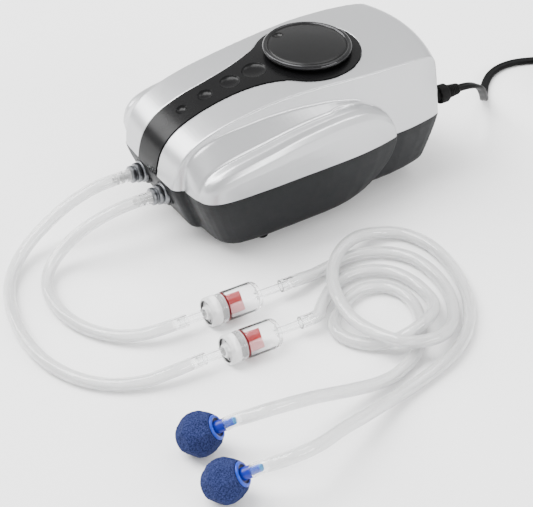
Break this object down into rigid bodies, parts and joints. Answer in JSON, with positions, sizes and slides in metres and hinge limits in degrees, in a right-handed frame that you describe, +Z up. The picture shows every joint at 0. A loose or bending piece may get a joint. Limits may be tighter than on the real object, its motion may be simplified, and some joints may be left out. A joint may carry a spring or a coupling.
{
  "type": "aquarium air pump",
  "caption": "Low rounded air pump with a top dial and front outlets, with its clear air hoses, check valves, round air stones and mains lead.",
  "frame": {"origin": "on the floor under the middle of the pump, between the tips of the outlets and the strain relief", "axes": "+Z up, +Y from the air outlets towards the mains lead, +X to the pump's left-hand side seen from the outlets' end"},
  "size_m": [0.2478, 0.4016, 0.0782],
  "materials": {
    "silver_plastic": "satin silver",
    "charcoal_plastic": "matte charcoal",
    "black_gloss_plastic": "gloss black",
    "black_rubber": "matte black",
    "chromed_fitting": "bright chrome",
    "steel": "plain steel",
    "circuit_board": "green board",
    "copper_wire": null,
    "magnet": "grey ferrite",
    "white_plastic": "off-white moulding",
    "felt": "felt",
    "clear_vinyl": "clear",
    "red_rubber": "dark red",
    "blue_stone": "porous, navy",
    "blue_plastic": "bright blue"
  },
  "bodies": {
    "pump": {"top_shell": "silver_plastic", "base_shell": "charcoal_plastic", "filter_cover": "charcoal_plastic", "top_inlay": "black_gloss_plastic", "arm_pivot_right": "black_rubber", "arm_pivot_left": "black_rubber", "diaphragm_right": "black_rubber", "diaphragm_left": "black_rubber", "valve_flap_right": "black_rubber", "valve_flap_left": "black_rubber", "air_tube_right": "black_rubber", "air_tube_left": "black_rubber", "foot_front_right": "black_rubber", "foot_front_left": "black_rubber", "foot_rear_right": "black_rubber", "foot_rear_left": "black_rubber", "strain_relief": "black_rubber", "power_cord": "black_rubber", "power_cord_coil": "black_rubber", "plug_body": "black_rubber", "outlet_nozzle_right": "chromed_fitting", "outlet_nozzle_left": "chromed_fitting", "potentiometer": "steel", "core_laminations": "steel", "shell_screw_front_right": "steel", "shell_screw_front_left": "steel", "shell_screw_rear_right": "steel", "shell_screw_rear_left": "steel", "cord_tie": "steel", "plug_blade_near": "steel", "plug_blade_far": "steel", "circuit_board": "circuit_board", "coil_winding": "copper_wire", "coil_bobbin": "white_plastic", "pump_chamber_right": "white_plastic", "pump_chamber_left": "white_plastic", "chamber_cover_right": "white_plastic", "chamber_cover_left": "white_plastic", "felt_filter": "felt", "hose_left_outlet": "clear_vinyl", "hose_right_outlet": "clear_vinyl", "hose_to_lower_stone": "clear_vinyl", "hose_to_upper_stone": "clear_vinyl", "check_valve_cap_right": "clear_vinyl", "check_valve_cap_left": "clear_vinyl", "check_valve_body_right": "clear_vinyl", "check_valve_body_left": "clear_vinyl", "duckbill_right": "red_rubber", "duckbill_left": "red_rubber", "air_stone_lower": "blue_stone", "air_stone_upper": "blue_stone", "air_stone_stem_lower": "blue_plastic", "air_stone_stem_upper": "blue_plastic"},
    "knob": {"control_knob": "black_gloss_plastic", "knob_shaft": "steel"},
    "arm_right": {"swing_arm_right": "steel", "arm_magnet_right": "magnet"},
    "arm_left": {"swing_arm_left": "steel", "arm_magnet_left": "magnet"}
  },
  "joints": [
    {"name": "knob_turn", "type": "hinge", "parent": "pump", "child": "knob", "pos_m": [0, 0.0134, 0.0745], "axis": [0, 0, 1], "range_deg": [-81, 199]},
    {"name": "arm_right_swing", "type": "hinge", "parent": "pump", "child": "arm_right", "pos_m": [0.0162, 0.056, 0.026], "axis": [0, 0, 1], "range_deg": [-0.8, 0.7], "stiffness_Nm_per_rad": 0.05},
    {"name": "arm_left_swing", "type": "hinge", "parent": "pump", "child": "arm_left", "pos_m": [-0.0162, 0.056, 0.026], "axis": [0, 0, 1], "range_deg": [-0.7, 0.8], "stiffness_Nm_per_rad": 0.05}
  ],
  "couplings": [
    {"joint": "arm_left_swing", "follows": "arm_right_swing", "ratio": -1}
  ]
}
